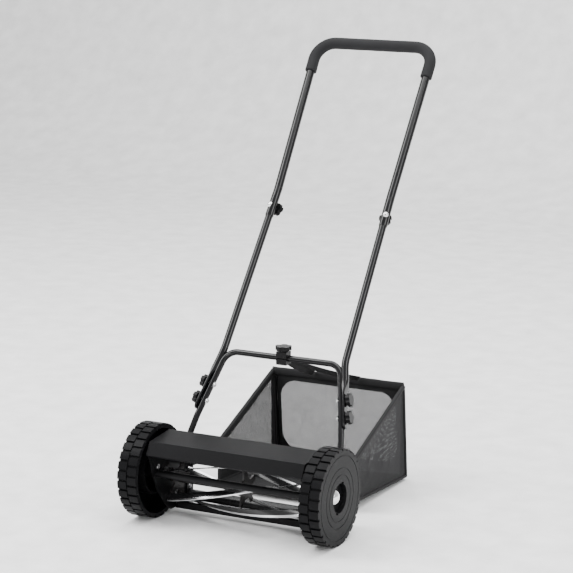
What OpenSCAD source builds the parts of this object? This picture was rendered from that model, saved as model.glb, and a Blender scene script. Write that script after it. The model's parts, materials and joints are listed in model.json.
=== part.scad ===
// Hand-pushed reel mower with a rear grass catcher.
// +Z is up, the mower is pushed towards -Y, and +X is the left wheel's side.
// The origin is on the ground, midway between the wheels and straight below their axles.

/* [Wheels] */
// Diameter of the wheels over the tread lugs
wheel_d = 208; // [190:2:250]
// Width of a wheel
wheel_w = 46; // [42:1:56]
// Room between a side plate and the wheel beside it
wheel_gap = 10; // [9:0.5:14]
// Number of tread lugs in one row
lug_n = 30; // [24:1:36]
// Height of a tread lug
lug_h = 4.5; // [3:0.5:6]
// Width of the groove between two lugs
lug_groove = 5.5; // [4:0.5:7]
// Thickness of the rim under the lugs
rim_t = 6; // [4:0.5:8]
// Thickness of the wheel's outer disc
web_t = 5; // [4:0.5:7]
// Diameter of the recess around the wheel's nut
recess_d = 64; // [56:1:76]
// Depth of that recess
recess_depth = 12; // [10:0.5:14]
// Diameter of the stub axle
axle_d = 12; // [10:0.5:14]
// Diameter of the domed cap over the axle's nut
cap_d = 37; // [34:1:44]

/* [Drive gears] */
// Tooth module of the ring gear and the pinions
gear_m = 1.6; // [1.4:0.1:1.8]
// Teeth in the ring gear moulded in each wheel
ring_teeth = 60; // [55:5:65]
// Teeth on a pinion
pinion_teeth = 12; // [11:1:14]
// Face width of the gears
gear_w = 14; // [10:1:16]
// Angle of the reel's axis as seen from the wheel's axle, below level and to the rear
mesh_angle = 35; // [30:1:40]
// Play between two meshing flanks
backlash = 0.2; // [0.15:0.05:0.4]

/* [Reel] */
// Clear width between the side plates
cut_w = 362; // [300:2:440]
// Diameter of the circle that the cutting edges run on
reel_d = 114; // [104:1:118]
// Number of helical blades
blade_n = 5; // [4:1:6]
// Width of a blade strip
blade_w = 17; // [14:1:20]
// Thickness of a blade strip
blade_t = 2.5; // [2:0.5:3.5]
// Turn of a blade over its length, in degrees
blade_twist = 98; // [60:2:120]
// Room between a blade's end and the side plate
reel_end_gap = 9; // [8:0.5:14]
// Diameter of the reel's shaft
shaft_d = 16; // [14:1:20]
// Diameter of the shaft's journals
journal_d = 10; // [9:0.5:11]
// Gap between the cutting edges and the bed knife
cut_gap = 0.4; // [0.3:0.1:1]

/* [Chassis] */
// Thickness of the side plates
plate_t = 3; // [2:0.5:4]
// Sheet thickness of the cover
cover_t = 1.5; // [1:0.5:2]
// Depth of the cover's top face, front to rear
cover_top = 100; // [88:1:104]
// Diameter of the tie tube ahead of the reel
tie_d = 16; // [12:1:18]
// Diameter of the rear roller
roller_d = 36; // [30:1:40]
// Distance of the roller's axis behind the wheel axles
roller_y = 104; // [100:1:108]
// Travel of the roller brackets for the height of cut
height_travel = 18; // [10:1:18]

/* [Handle] */
// Diameter of the frame loop's tube
loop_d = 14; // [12:0.5:18]
// Diameter of the lower handle tubes
lower_d = 17; // [14:0.5:20]
// Wall thickness of the handle tubes
tube_t = 1; // [0.8:0.1:1.5]
// Height of the hand grip's centre line above the ground
grip_z = 984; // [900:2:1100]
// Outer diameter of the foam grip
grip_d = 27.5; // [25:0.5:34]
// Radius of the bends beside the grip
grip_bend = 46; // [40:1:60]
// Height of the loop's top bar above the ground
loop_z = 334; // [310:2:380]
// Diameter of the star knobs on the tubes
knob_d = 29; // [26:1:34]
// Diameter of the bolts through the tubes
bolt_d = 6; // [5:0.5:6.5]

/* [Grass catcher] */
// Width of the catcher between its side wires
catcher_w = 336; // [280:2:340]
// Height of the catcher's rear bar
catcher_z = 227; // [200:1:235]
// Distance of the rear bar behind the wheel axles
catcher_y = 484; // [440:2:520]
// Distance of the catcher's front edge behind the wheel axles
catcher_front = 222; // [210:1:240]
// Diameter of the frame wire
wire_d = 5; // [4:0.5:6]
// Thickness of the fabric panels
cloth_t = 1.2; // [0.8:0.1:2]

/* [Hidden] */
$fn = 48;

// Running clearances on radius, and the small gap left between pieces that touch.
run_fit = 0.05;
hole_fit = 0.1;
touch = 0.1;

// Places across the mower, measured outwards from the middle.
plate_in = cut_w / 2;
plate_out = plate_in + plate_t;
wheel_in = plate_out + wheel_gap;
wheel_out = wheel_in + wheel_w;

// Axles, gears and reel.
axle_z = wheel_d / 2;
mesh_r = gear_m * (ring_teeth - pinion_teeth) / 2;
reel_y = mesh_r * cos(mesh_angle);
reel_z = axle_z - mesh_r * sin(mesh_angle);
reel_r = reel_d / 2;
reel_len = cut_w - 2 * reel_end_gap;
blade_rate = blade_twist / reel_len;
blade_phase = -180.5;
blade_slices = 28;
ring_back = web_t + 18;
pinion_x = wheel_out - ring_back - gear_w;
collar_len = 9.5;
collar_x = pinion_x - collar_len;

// Points on the side plates, as [y, z].
tie_at = [reel_y - reel_r - tie_d / 2 - 0.5, reel_z + 26];
bed_pivot = [reel_y + 28, reel_z - 44];
bed_slot_at = [reel_y + 9, reel_z - 32];
cover_front = reel_y - reel_r - 47.5;
cover_z = reel_z + reel_r + 52;
cover_screw_at = [[tie_at[0] + 2, tie_at[1] + tie_d / 2 + 7], [8, cover_z - 32]];
stud_at = [roller_y + 10, axle_z - 6];
loop_foot_at = [[roller_y - 2, axle_z + 18], [roller_y + 7, axle_z + 39]];
height_bolt_at = [[roller_y, roller_d / 2 + 27], [roller_y, roller_d / 2 + 45]];

// ---- Vector and outline helpers ----

function unit(v) = v / norm(v);
function polar(r, a) = [r * cos(a), r * sin(a)];
function flip(p, s) = [s * p[0], p[1], p[2]];

// Outline with every corner rounded by its own radius.
function corner(a, b, c, r, steps = 6) =
    let (u = unit(a - b), v = unit(c - b), half = acos(u * v) / 2)
    r <= 0 ? [b] :
    let (d = r / tan(half), m = b + unit(u + v) * r / sin(half), p = b + u * d, q = b + v * d,
         a0 = atan2(p[1] - m[1], p[0] - m[0]), a1 = atan2(q[1] - m[1], q[0] - m[0]),
         turn = a1 - a0 > 180 ? a1 - a0 - 360 : a1 - a0 < -180 ? a1 - a0 + 360 : a1 - a0)
    [for (i = [0:steps]) m + polar(r, a0 + turn * i / steps)];
function rounded(pts, radii) =
    let (n = len(pts))
    [for (i = [0:n - 1]) each corner(pts[(i + n - 1) % n], pts[i], pts[(i + 1) % n], radii[i])];

// A sheet's profile: the path on one side and the same path one thickness away.
function side_of(p, q, t) = let (d = unit(q - p)) [-d[1], d[0]] * t;
function mitre(p, i, t) =
    let (n = len(p) - 1, before = i == 0 ? side_of(p[0], p[1], 1) : side_of(p[i - 1], p[i], 1),
         after = i == n ? side_of(p[n - 1], p[n], 1) : side_of(p[i], p[i + 1], 1),
         m = unit(before + after))
    p[i] + m * t / (m * before);
function sheet(path, t) =
    concat(path, [for (i = [len(path) - 1:-1:0]) mitre(path, i, t)]);

// Frame matrix that puts local +Z along d, with local +X as close to x_ref as it can be.
function frame_of(at, d, x_ref) =
    let (w = unit(d), u = unit(x_ref - (x_ref * w) * w), v = cross(w, u))
    [[u[0], v[0], w[0], at[0]], [u[1], v[1], w[1], at[1]], [u[2], v[2], w[2], at[2]], [0, 0, 0, 1]];
module place(at, d, x_ref = [1, 0, 0]) {
    multmatrix(frame_of(at, d, x_ref)) children();
}

// Profiles drawn as [y, z] and extruded along X between two stations.
module along_x(x0, x1) {
    translate([x0, 0, 0]) rotate([90, 0, 90]) linear_extrude(x1 - x0) children();
}
module rod_x(x0, x1, at, d) {
    translate([x0, at[0], at[1]]) rotate([0, 90, 0]) cylinder(d = d, h = x1 - x0);
}
module sided(s) {
    if (s > 0) children();
    else mirror([1, 0, 0]) children();
}

// A bent tube through points. Each station is a centre and a heading; rings of points are
// carried from one station to the next without twist.
tube_sides = 20;
bend_step = 13;
function rotate_about(v, k, a) = v * cos(a) + cross(k, v) * sin(a) + k * (k * v) * (1 - cos(a));
function arc_stations(a, b, c, r) =
    let (u = unit(a - b), v = unit(c - b), open = acos(u * v), turn = 180 - open,
         centre = b + unit(u + v) * r / sin(open / 2), axis = unit(cross(-u, v)),
         start = b + u * r / tan(open / 2) - centre, steps = max(2, ceil(turn / bend_step)))
    [for (k = [0:steps])
        [centre + rotate_about(start, axis, turn * k / steps), rotate_about(-u, axis, turn * k / steps)]];
function stations(p, radii) =
    let (n = len(p) - 1)
    concat([[p[0], unit(p[1] - p[0])]],
           [for (i = [1:1:n - 1]) each arc_stations(p[i - 1], p[i], p[i + 1], radii[i])],
           [[p[n], unit(p[n] - p[n - 1])]]);
function carried(u, a, b) =
    let (k = cross(a, b), size = norm(k))
    size < 0.000001 ? u : rotate_about(u, k / size, atan2(size, a * b));
function first_side(t) =
    let (ref = abs(t[0]) > 0.9 ? [0, 0, 1] : [1, 0, 0]) unit(ref - (ref * t) * t);
function rings(st) =
    [for (i = 0, u = first_side(st[0][1]); i < len(st);
          u = i + 1 < len(st) ? carried(u, st[i][1], st[i + 1][1]) : u, i = i + 1)
        [st[i][0], u, cross(st[i][1], u)]];
function ring_points(rs, r, n) =
    [for (q = rs, k = [0:n - 1]) q[0] + r * (q[1] * cos(360 * k / n) + q[2] * sin(360 * k / n))];
module tube_path(p, radii, d, bore, n = tube_sides) {
    rs = rings(stations(p, radii));
    m = len(rs);
    in = m * n;
    end = (m - 1) * n;
    outside = [for (i = [0:m - 2], k = [0:n - 1]) let (j = (k + 1) % n)
        [i * n + k, (i + 1) * n + k, (i + 1) * n + j, i * n + j]];
    if (bore > 0) {
        inside = [for (f = outside) [for (i = [3:-1:0]) in + f[i]]];
        ends = [for (k = [0:n - 1]) let (j = (k + 1) % n) each [
            [k, j, in + j, in + k], [end + k, in + end + k, in + end + j, end + j]]];
        polyhedron(concat(ring_points(rs, d / 2, n), ring_points(rs, bore / 2, n)),
                   concat(outside, inside, ends));
    } else {
        ends = [[for (k = [0:n - 1]) k], [for (k = [n - 1:-1:0]) end + k]];
        polyhedron(ring_points(rs, d / 2, n), concat(outside, ends));
    }
}

// ---- Fasteners ----

// A bolt along +Z from its bearing face at zero: domed head below, shank above.
module dome_bolt(d, grip, head_d, head_h) {
    ball = (head_d * head_d / 4 + head_h * head_h) / (2 * head_h);
    intersection() {
        translate([0, 0, ball - head_h]) sphere(r = ball);
        translate([0, 0, -head_h]) cylinder(d = head_d, h = head_h);
    }
    cylinder(d = d, h = grip);
}
module hex_nut(across, h, bore) {
    difference() {
        cylinder(d = across / cos(30), h = h, $fn = 6);
        translate([0, 0, -1]) cylinder(d = bore, h = h + 2);
    }
}
// A star knob with a blind bore for its bolt: boss first, lobes outwards along +Z.
knob_lobes = 5;
knob_boss = 3;
knob_h = 12;
module star_knob(d, bore, depth) {
    difference() {
        union() {
            cylinder(d = d * 0.55, h = knob_boss + 1);
            translate([0, 0, knob_boss]) linear_extrude(knob_h - knob_boss)
                difference() {
                    circle(d = d);
                    for (i = [0:knob_lobes - 1])
                        rotate(i * 360 / knob_lobes) translate([d * 0.58, 0]) circle(d = d * 0.36);
                }
        }
        translate([0, 0, -1]) cylinder(d = bore, h = depth + 1);
    }
}

// ---- Side plates and what they carry ----

plate_points = [[cover_front + 7, cover_z - 41], [cover_front + 23, cover_z - 15],
                [cover_front + 95, cover_z - 9], [roller_y - 44, axle_z + 64],
                [roller_y + 20, axle_z + 48], [roller_y + 20, 24], [roller_y - 44, 10],
                [reel_y - 11, 12], [reel_y - 36, reel_z - 48], [reel_y - 66, reel_z - 10],
                [reel_y - 81, reel_z + 22]];
plate_radii = [6, 6, 8, 30, 8, 10, 30, 20, 20, 30, 20];
bush_hole_d = journal_d + 5;

module side_plate(s) {
    color([0.08, 0.08, 0.085]) sided(s) difference() {
        along_x(plate_in, plate_out) polygon(rounded(plate_points, plate_radii));
        hole_x(reel_y, reel_z, bush_hole_d + 2 * hole_fit);
        hole_x(0, axle_z, axle_d + 2 * hole_fit);
        for (p = concat([tie_at, bed_pivot, bed_slot_at], cover_screw_at, loop_foot_at, height_bolt_at))
            hole_x(p[0], p[1], bolt_d + 2 * hole_fit);
        hole_x(stud_at[0], stud_at[1], bolt_d + 2 * hole_fit);
    }
}
module hole_x(y, z, d) {
    rod_x(plate_in - 30, plate_out + 30, [y, z], d);
}

module tie_tube() {
    color([0.1, 0.1, 0.105]) difference() {
        rod_x(-plate_in + touch, plate_in - touch, tie_at, tie_d);
        rod_x(-cut_w, cut_w, tie_at, bolt_d + 2 * hole_fit);
    }
}
tie_bolt_grip = 26;
module tie_tube_bolts() {
    color([0.7, 0.7, 0.72]) for (s = [-1, 1]) sided(s)
        translate([plate_out + touch, tie_at[0], tie_at[1]]) rotate([0, -90, 0])
            dome_bolt(bolt_d, tie_bolt_grip, 13, 4);
}

// Cover: nearly level top, sloping front with a small lip, and an end flange inside each plate.
cover_path = [[cover_front + cover_top, cover_z - 7], [cover_front + cover_top, cover_z + 1],
              [cover_front + 16, cover_z - 6.5], [cover_front, cover_z - 33],
              [cover_front + 4, cover_z - 37]];
flange_low = cover_screw_at[0][1] - 7;
flange_points = [[cover_front + 2.2, cover_z - 31], [cover_front + 17, cover_z - 7.2],
                 [cover_front + cover_top - 3, cover_z], [20, cover_z - 42],
                 [cover_screw_at[0][0] + 8, flange_low], [cover_screw_at[0][0] - 8, flange_low]];
cover_over = plate_out + 2;
module cover_plate() {
    color([0.1, 0.1, 0.108]) {
        along_x(-cover_over, cover_over) polygon(sheet(cover_path, cover_t));
        for (s = [-1, 1]) sided(s) difference() {
            along_x(plate_in - cover_t - touch, plate_in - touch) polygon(flange_points);
            for (p = cover_screw_at) hole_x(p[0], p[1], bolt_d + 2 * hole_fit);
        }
    }
}
module cover_screws() {
    color([0.7, 0.7, 0.72]) for (s = [-1, 1], p = cover_screw_at) sided(s) {
        translate([plate_in - cover_t - 2 * touch, p[0], p[1]]) rotate([0, 90, 0])
            dome_bolt(bolt_d, cover_t + plate_t + 3, 12, 3);
        translate([plate_out + touch, p[0], p[1]]) rotate([0, 90, 0])
            cylinder(d = bolt_d + 3, h = 2.5);
    }
}

// Stub axle: washer face inside, shoulder between plate and wheel, threaded tip.
shoulder_d = 22;
hub_in = wheel_in + 1.5;
recess_floor = wheel_out - recess_depth;
nut_h = 6;
module axle(s) {
    color([0.62, 0.62, 0.64]) sided(s) {
        rod_x(plate_in - 4, plate_in - touch, [0, axle_z], shoulder_d);
        rod_x(plate_in - 4, recess_floor + nut_h + 1.5, [0, axle_z], axle_d);
        rod_x(plate_out + touch, hub_in - 0.3, [0, axle_z], shoulder_d);
    }
}
module axle_nuts() {
    color([0.7, 0.7, 0.72]) for (s = [-1, 1]) sided(s)
        translate([recess_floor + 0.4, 0, axle_z]) rotate([0, 90, 0]) {
            difference() {
                cylinder(d = axle_d + 9, h = 1);
                translate([0, 0, -1]) cylinder(d = axle_d + 2 * hole_fit, h = 3);
            }
            translate([0, 0, 1]) hex_nut(axle_d + 5, nut_h - 2, axle_d + 2 * hole_fit);
        }
}
// Domed cap that hides the nut.
cap_h = 9;
cap_t = 1;
module axle_caps() {
    ball = (cap_d * cap_d / 4 + cap_h * cap_h) / (2 * cap_h);
    color([0.85, 0.85, 0.87]) for (s = [-1, 1]) sided(s)
        translate([recess_floor + 0.4, 0, axle_z]) rotate([0, 90, 0]) difference() {
            intersection() {
                translate([0, 0, cap_h - ball]) sphere(r = ball, $fn = 96);
                cylinder(d = cap_d, h = cap_h + 1);
            }
            difference() {
                translate([0, 0, cap_h - ball]) sphere(r = ball - cap_t, $fn = 96);
                translate([0, 0, -2 * ball]) cylinder(d = 4 * ball, h = 2 * ball - 0.5);
            }
            translate([0, 0, -1]) cylinder(d = cap_d - 6, h = 2);
        }
}

module reel_bushes() {
    color([0.75, 0.6, 0.35]) for (s = [-1, 1]) sided(s) difference() {
        union() {
            rod_x(plate_in - 1.5, plate_out + 1.5, [reel_y, reel_z], bush_hole_d);
            rod_x(plate_out + touch, plate_out + 2, [reel_y, reel_z], bush_hole_d + 5);
        }
        hole_x(reel_y, reel_z, journal_d + 2 * run_fit);
    }
}

// ---- Bed knife ----

knife_t = 3;
knife_w = 20;
knife_angle = -75;
knife_edge = [reel_y, reel_z] + polar(reel_r + cut_gap, knife_angle);
bar_top = knife_edge[1] - knife_t - touch;
bar_front = knife_edge[0] - 2;
bar_t = 3;
bar_h = 14;
bed_play = 0.4;
bed_end = plate_in - bed_play;
rivet_n = 6;
rivet_d = 5;
module bed_bar() {
    color([0.12, 0.12, 0.125]) difference() {
        union() {
            along_x(-bed_end, bed_end) polygon([
                [bar_front, bar_top], [bar_front + knife_w, bar_top],
                [bar_front + knife_w, bar_top - bar_t], [bar_front + bar_t, bar_top - bar_t],
                [bar_front + bar_t, bar_top - bar_h], [bar_front, bar_top - bar_h]]);
            for (s = [-1, 1]) sided(s)
                along_x(bed_end - bar_t, bed_end)
                    polygon(rounded([[bar_front, bar_top - bar_h], [bar_front + knife_w, bar_top - bar_h],
                                     [bed_pivot[0] + 8, bed_pivot[1]], [bed_pivot[0] + 2, bed_pivot[1] + 9],
                                     [bed_slot_at[0], bed_slot_at[1] + 10],
                                     [bed_slot_at[0] - 9, bed_slot_at[1] + 2]],
                                    [2, 3, 5, 5, 7, 6]));
        }
        rod_x(-cut_w, cut_w, bed_pivot, bolt_d + 2 * run_fit);
        rod_x(-cut_w, cut_w, bed_slot_at, bolt_d + 4);
        for (i = [0:rivet_n - 1]) translate([rivet_x(i), knife_edge[0] + 12, bar_top - 2 * bar_t])
            cylinder(d = rivet_d + 2 * hole_fit, h = 3 * bar_t);
    }
}
function rivet_x(i) = (i / (rivet_n - 1) - 0.5) * (cut_w - 60);
module bed_knife() {
    color([0.6, 0.6, 0.62]) {
        along_x(-bed_end + bar_t + touch, bed_end - bar_t - touch) polygon([
            knife_edge, knife_edge + [knife_w - 3, 0], knife_edge + [knife_w - 3, -knife_t],
            knife_edge + [3, -knife_t], knife_edge + [0.5, -1]]);
        for (i = [0:rivet_n - 1]) translate([rivet_x(i), knife_edge[0] + 12, bar_top - bar_t])
            cylinder(d = rivet_d, h = bar_t + touch + knife_t + 1);
    }
}
module bed_bolts() {
    color([0.7, 0.7, 0.72]) for (s = [-1, 1], p = [bed_pivot, bed_slot_at]) sided(s) {
        translate([bed_end - bar_t - 2 * touch, p[0], p[1]]) rotate([0, 90, 0])
            dome_bolt(bolt_d, bar_t + plate_t + 3, 12, 3);
        translate([plate_out + touch, p[0], p[1]]) rotate([0, 90, 0])
            hex_nut(10, 4, bolt_d);
    }
}

// ---- Frame loop and handle ----
// The left half's centre lines; the right half is its mirror image.

foot_x = plate_out + 2.1;
leg_low = [foot_x - 2, loop_foot_at[1][0] + 8, loop_foot_at[1][1] + 22];
leg_bend = [177.1 - 184 + plate_out, loop_foot_at[1][0] + 24, axle_z + 95];
leg_way = unit([-0.275, 0.541, 1]);
leg_top = leg_bend + leg_way * (loop_z - leg_bend[2]) / leg_way[2];
leg_out = unit([1, 0, 0] - leg_way[0] * leg_way);
corner_r = 35;
foot_t = 4;

module loop_foot() {
    way = [0, loop_foot_at[1][0] - loop_foot_at[0][0], loop_foot_at[1][1] - loop_foot_at[0][1]];
    top = [foot_x, loop_foot_at[1][0], loop_foot_at[1][1]] + unit(way) * 10;
    hull() {
        place(leg_low, leg_bend - leg_low) cylinder(d = loop_d, h = 0.5, $fn = 32);
        place(top, way) translate([-foot_t / 2, -9, 0]) cube([foot_t, 18, 0.5]);
    }
    hull() {
        place(top, way) translate([-foot_t / 2, -9, 0]) cube([foot_t, 18, 0.5]);
        place(top - unit(way) * (norm(way) + 10), way)
            rotate([0, 90, 0]) translate([0, 0, -foot_t / 2]) cylinder(d = 18, h = foot_t, $fn = 32);
    }
}
strip_bolt = [for (t = [-0.5, 0.5]) leg_bend + leg_way * (57 + 39.5 * t)];
module loop_half_cuts() {
    for (p = loop_foot_at) hole_x(p[0], p[1], bolt_d + 2 * hole_fit);
    for (p = strip_bolt) place(p, leg_out) translate([0, 0, -loop_d]) cylinder(d = bolt_d + 2 * hole_fit, h = 2 * loop_d);
}
module frame_loop() {
    path = [leg_low, leg_bend, leg_top, flip(leg_top, -1), flip(leg_bend, -1), flip(leg_low, -1)];
    color([0.07, 0.07, 0.075]) difference() {
        union() {
            tube_path(path, [0, 60, corner_r, corner_r, 60, 0], loop_d, loop_d - 2 * tube_t);
            for (s = [-1, 1]) sided(s) loop_foot();
        }
        for (s = [-1, 1]) sided(s) {
            loop_half_cuts();
            along_x(plate_in, plate_out + touch / 2) polygon(rounded(plate_points, plate_radii));
        }
        translate([0, leg_top[1], loop_z - loop_d]) cylinder(d = bolt_d + 2 * hole_fit, h = 2 * loop_d);
    }
}
module loop_bolts() {
    color([0.7, 0.7, 0.72]) for (s = [-1, 1], p = loop_foot_at) sided(s) {
        translate([foot_x + foot_t / 2 + touch, p[0], p[1]]) rotate([0, -90, 0])
            dome_bolt(bolt_d, foot_t + plate_t + 5, 12, 2.5);
        translate([plate_in - touch, p[0], p[1]]) rotate([0, -90, 0]) hex_nut(10, 4, bolt_d);
    }
}

// Lower handle tube: flattened foot bolted outside the leg, then round up to the joint.
strip_t = 5;
strip_w = 24;
strip_off = loop_d / 2 + touch + strip_t / 2;
strip_line = leg_bend + leg_out * strip_off;
strip_low = strip_line + leg_way * 24;
strip_high = strip_line + leg_way * 92;
round_low = strip_line + leg_way * 122;
lower_bend = strip_line + leg_way * 160;
handle_way = unit([-0.0185, 0.598, 0.801]);
joint_z = loop_z + 295;
joint_at = lower_bend + handle_way * (joint_z - lower_bend[2]) / handle_way[2];
overlap = 26;
joint_turn = -21;
joint_axis = unit(rotate_about([0, handle_way[2], -handle_way[1]], handle_way, -joint_turn));

module strip_end(at) {
    place(at, leg_way, leg_out) translate([-strip_t / 2, -strip_w / 2, 0]) cube([strip_t, strip_w, 0.5]);
}
module handle_lower(s) {
    color([0.07, 0.07, 0.075]) sided(s) difference() {
        union() {
            place(strip_low, leg_out, leg_way) translate([0, 0, -strip_t / 2])
                linear_extrude(strip_t) strip_outline();
            hull() {
                strip_end(strip_high - leg_way * 2);
                place(round_low, leg_way, leg_out) cylinder(d = lower_d + 0.6, h = 1, $fn = 32);
            }
            tube_path([round_low + leg_way * 0.5, lower_bend, joint_at + handle_way * overlap], [0, 90, 0],
                      lower_d, lower_d - 2 * tube_t);
        }
        tube_path([leg_bend + leg_way * 30, leg_top, [0, leg_top[1], leg_top[2]]], [0, corner_r, 0],
                  loop_d + 6 * touch, 0);
        joint_hole();
    }
}
module strip_outline() {
    difference() {
        union() {
            circle(d = strip_w, $fn = 32);
            translate([0, -strip_w / 2]) square([norm(strip_high - strip_low) + 0.5, strip_w]);
        }
        for (p = strip_bolt) translate([(p - leg_bend) * leg_way - 24, 0])
            circle(d = bolt_d + 2 * hole_fit);
    }
}
module joint_hole() {
    place(joint_at, joint_axis) translate([0, 0, -20]) cylinder(d = bolt_d + 2 * hole_fit, h = 40);
}

// Upper handle: one tube bent to a U, slipped over the lower tubes.
upper_d = lower_d + 2 * tube_t + 2 * touch;
upper_bore = lower_d + 2 * touch;
upper_low = joint_at - handle_way * overlap;
upper_kink = joint_at + handle_way * 45;
upper_way = unit([0.0184, 0.566, 0.824]);
upper_top = upper_kink + upper_way * (grip_z - upper_kink[2]) / upper_way[2];
module handle_upper() {
    half = [upper_low, upper_kink, upper_top];
    path = concat(half, [for (i = [2:-1:0]) flip(half[i], -1)]);
    color([0.07, 0.07, 0.075]) difference() {
        tube_path(path, [0, 150, grip_bend, grip_bend, 150, 0], upper_d, upper_bore);
        for (s = [-1, 1]) sided(s) joint_hole();
    }
}
grip_leg = 78;
module foam_grip() {
    foot = upper_top - upper_way * grip_leg;
    path = [foot, upper_top, flip(upper_top, -1), flip(foot, -1)];
    color([0.13, 0.13, 0.135])
        tube_path(path, [0, grip_bend, grip_bend, 0], grip_d, upper_d + 2 * touch);
}

// Bolts and star knobs of the handle.
joint_seat = upper_d / 2 + touch;
joint_head_d = 13;
module joint_bolts() {
    color([0.85, 0.85, 0.87]) for (s = [-1, 1]) sided(s)
        place(joint_at - joint_axis * joint_seat, joint_axis)
            dome_bolt(bolt_d, 2 * joint_seat + knob_h - 3, joint_head_d, 4);
}
module joint_knob(s) {
    color([0.05, 0.05, 0.055]) sided(s) place(joint_at + joint_axis * (joint_seat + touch), joint_axis)
        star_knob(knob_d, bolt_d + 2 * run_fit, knob_h - 2);
}
strip_seat = strip_off + strip_t / 2 + touch;
module handle_bolts() {
    color([0.85, 0.85, 0.87]) for (s = [-1, 1], p = strip_bolt) sided(s)
        place(p - leg_out * (loop_d / 2 + touch), leg_out)
            dome_bolt(bolt_d, loop_d / 2 + strip_seat + knob_h - 3, joint_head_d, 4);
}
module handle_knob(s, i) {
    color([0.05, 0.05, 0.055]) sided(s) place(strip_bolt[i] + leg_out * (strip_seat + touch), leg_out)
        star_knob(knob_d, bolt_d + 2 * run_fit, knob_h - 2);
}

// Saddle, hook and knob at the middle of the loop's top bar.
saddle_w = 25;
saddle_h = 8;
saddle_depth = 24;
saddle_up = loop_d / 2 + saddle_h;
hook_knob_d = 36;
bar_at = [0, leg_top[1], loop_z];
module saddle() {
    color([0.06, 0.06, 0.065]) translate(bar_at) difference() {
        translate([-saddle_w / 2, -saddle_depth / 2, 1]) cube([saddle_w, saddle_depth, saddle_up - 1]);
        rotate([0, 90, 0]) translate([0, 0, -saddle_w]) cylinder(d = loop_d + 2 * touch, h = 2 * saddle_w);
        cylinder(d = bolt_d + 2 * hole_fit, h = 40);
    }
}
hook_low = loop_d / 2 + 7;
tongue_w = 12;
module strap_hook() {
    color([0.06, 0.06, 0.065]) translate(bar_at) difference() {
        union() {
            translate([-saddle_w / 2, -saddle_depth / 2, -hook_low])
                cube([saddle_w, saddle_depth, hook_low - 1]);
            translate([-tongue_w / 2, saddle_depth / 2 - 1, -hook_low]) cube([tongue_w, 14, 3]);
            translate([-tongue_w / 2, saddle_depth / 2 + 10, -hook_low]) cube([tongue_w, 3, 9]);
        }
        rotate([0, 90, 0]) translate([0, 0, -saddle_w]) cylinder(d = loop_d + 2 * touch, h = 2 * saddle_w);
        translate([0, 0, -40]) cylinder(d = bolt_d + 2 * hole_fit, h = 80);
    }
}
module hook_bolt() {
    color([0.7, 0.7, 0.72]) translate(bar_at - [0, 0, hook_low + touch])
        dome_bolt(bolt_d, hook_low + saddle_up + knob_h - 2, 14, 3);
}
module hook_knob() {
    color([0.05, 0.05, 0.055]) translate(bar_at + [0, 0, saddle_up + touch])
        star_knob(hook_knob_d, bolt_d + 2 * run_fit, knob_h - 1);
}

// ---- Gears ----

press_angle = 20;
function inv_deg(a) = tan(a) * 180 / PI - a;
// Half the angle that a tooth takes up at radius r.
function half_tooth(r, z, thin) =
    let (pitch = gear_m * z / 2, base = pitch * cos(press_angle), a = acos(min(1, base / r)))
    90 / z - thin / pitch * 90 / PI + inv_deg(press_angle) - inv_deg(a);
function gear_outline(z, low, high, thin, steps = 5) =
    [for (i = [0:z - 1]) let (mid = 360 * i / z) each concat(
        [for (k = [0:steps]) let (r = low + (high - low) * k / steps)
            polar(r, mid - half_tooth(r, z, thin))],
        [for (k = [steps:-1:0]) let (r = low + (high - low) * k / steps)
            polar(r, mid + half_tooth(r, z, thin))])];
pitch_ring = gear_m * ring_teeth / 2;
pitch_pinion = gear_m * pinion_teeth / 2;
ring_tip = pitch_ring - 0.6 * gear_m;
ring_root = pitch_ring + 1.15 * gear_m;
pinion_tip = pitch_pinion + 0.9 * gear_m;
pinion_root = pitch_pinion - 0.9 * gear_m;
// The pinion lies at -mesh_angle from the axle; both gears are turned so that a pinion
// tooth stands in a ring space on that line.
module ring_space() {
    rotate(-mesh_angle) polygon(gear_outline(ring_teeth, ring_tip, ring_root, -backlash / 2));
}
module pinion_teeth_2d() {
    rotate(-mesh_angle) polygon(gear_outline(pinion_teeth, pinion_root, pinion_tip, backlash / 2));
}

// ---- Wheels ----

lug_base = wheel_d / 2 - lug_h;
rim_in = lug_base - rim_t;
row_split = wheel_w * 0.5;
boss_d = axle_d + 22;
ring_wall = ring_root + 3.5;
face_groove = [0.87, 0.62, 0.48];
notch_w = 9;
module lug_row(turn) {
    groove_angle = lug_groove / (PI * wheel_d) * 360;
    pitch = 360 / lug_n;
    difference() {
        circle(r = wheel_d / 2, $fn = 120);
        circle(r = rim_in, $fn = 120);
        for (i = [0:lug_n - 1]) rotate(turn + i * pitch)
            polygon([polar(lug_base, -groove_angle / 2), polar(wheel_d / 2 + 1, -groove_angle / 2),
                     polar(wheel_d / 2 + 1, groove_angle / 2), polar(lug_base, groove_angle / 2)]);
    }
}
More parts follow.
